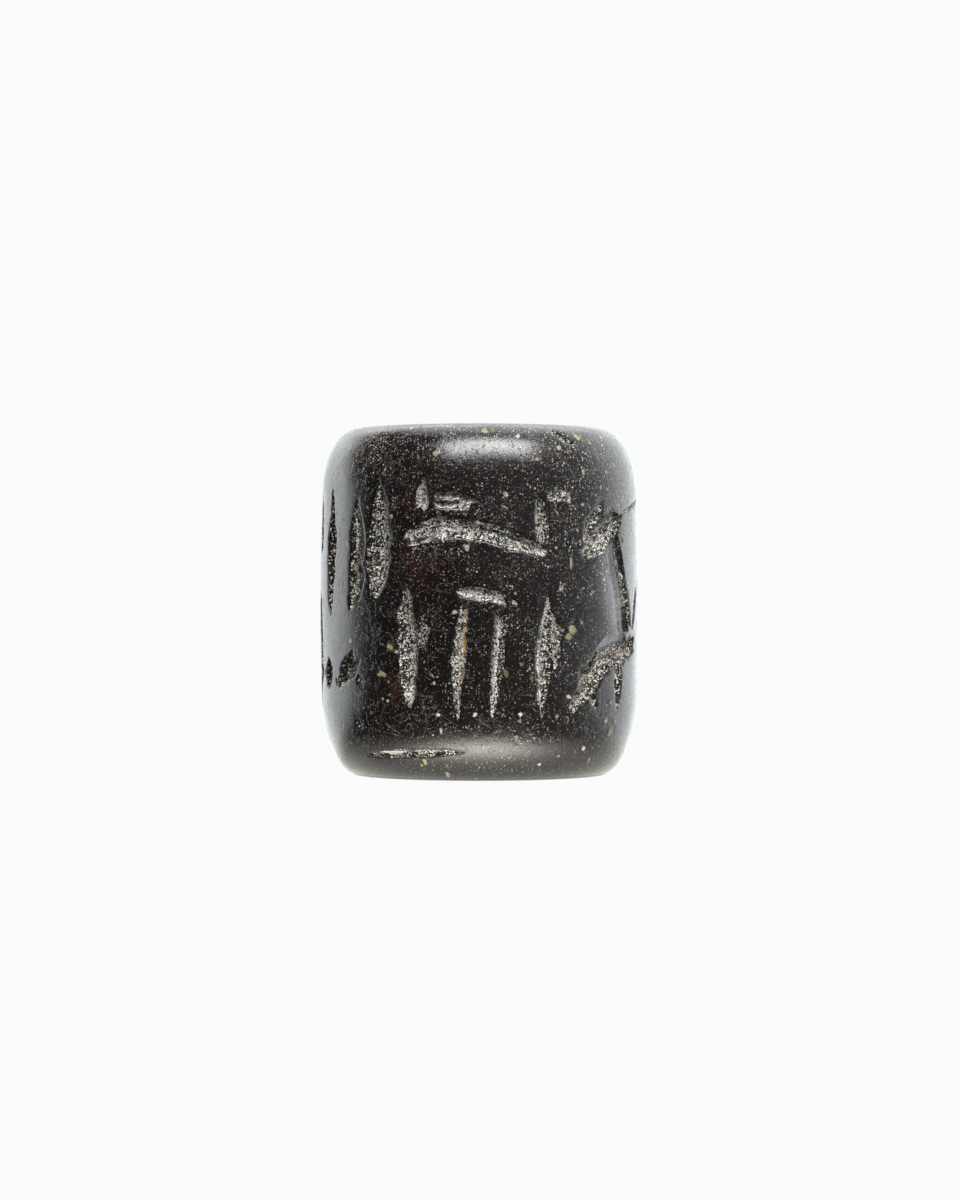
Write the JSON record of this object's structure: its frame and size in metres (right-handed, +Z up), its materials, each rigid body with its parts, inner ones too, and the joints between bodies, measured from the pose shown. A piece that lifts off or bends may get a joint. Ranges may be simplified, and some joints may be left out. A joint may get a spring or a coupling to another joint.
{
  "type": "cylinder seal",
  "caption": "Squat stone cylinder seal with rounded ends, bored from end to end and engraved all round with rows of tapered strokes, to be rolled over clay.",
  "frame": {"origin": "centre of the lower end, on the bore's axis", "axes": "+Z up along the bore's axis, -Y towards the engraved side that the picture shows"},
  "size_m": [0.017, 0.017, 0.0184],
  "materials": {
    "black_stone": "satin"
  },
  "bodies": {
    "root": {"seal_stone": "black_stone"}
  },
  "joints": []
}
